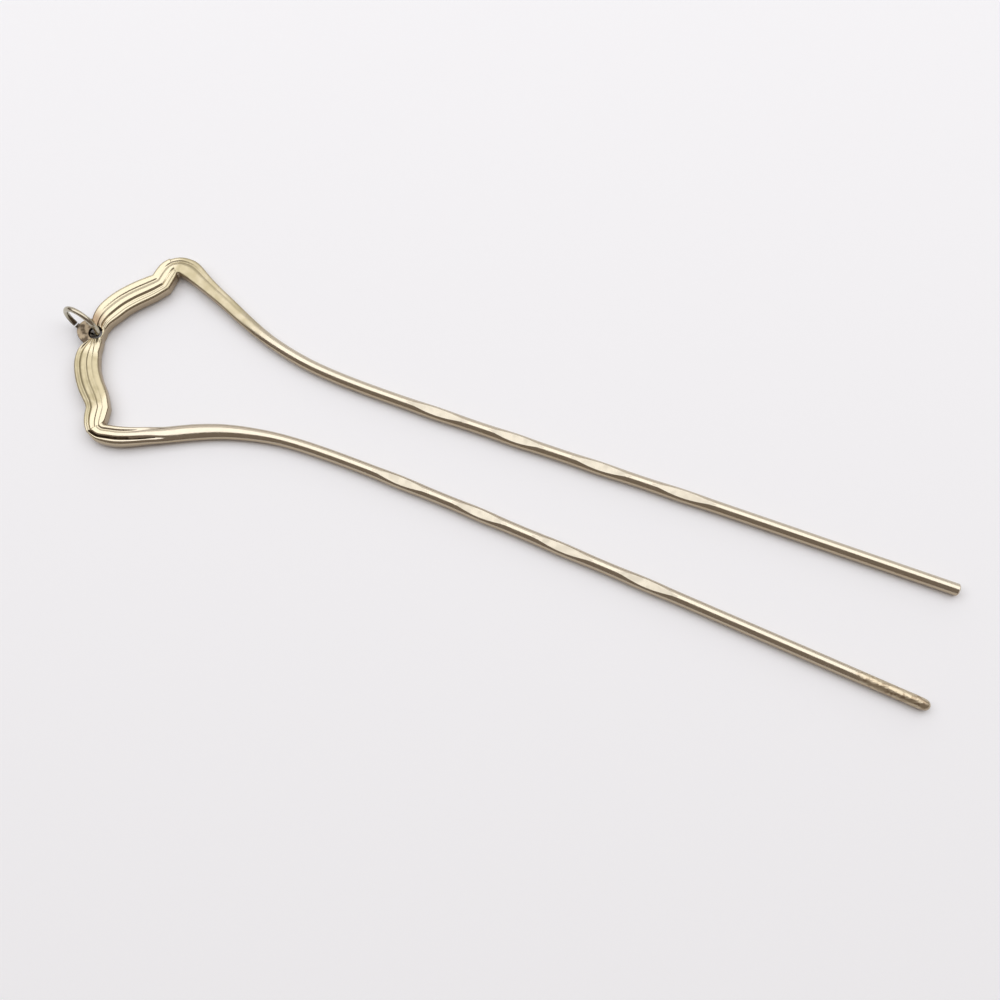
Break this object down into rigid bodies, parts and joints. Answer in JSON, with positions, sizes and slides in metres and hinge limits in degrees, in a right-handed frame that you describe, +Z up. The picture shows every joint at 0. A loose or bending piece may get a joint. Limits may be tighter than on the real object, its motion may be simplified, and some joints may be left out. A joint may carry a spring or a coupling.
{
  "type": "hairpin",
  "caption": "Two-pronged metal hairpin with a fluted, shouldered head, a drilled eye and a split jump ring; it fastens a bun or twist of hair.",
  "frame": {"origin": "middle of the whole model's box, on the surface that the pin lies on", "axes": "+X along the prongs towards the tips, +Y towards the prong with the square cut end, +Z up from the surface to the fluted face"},
  "size_m": [0.0914, 0.021, 0.0042],
  "materials": {
    "pin": "worn polished pale gold, satin on the pinched flats",
    "jump_ring": "greyer white metal wire, lightly dulled"
  },
  "bodies": {
    "root": {"pin": "pin", "jump_ring": "jump_ring"}
  },
  "joints": []
}
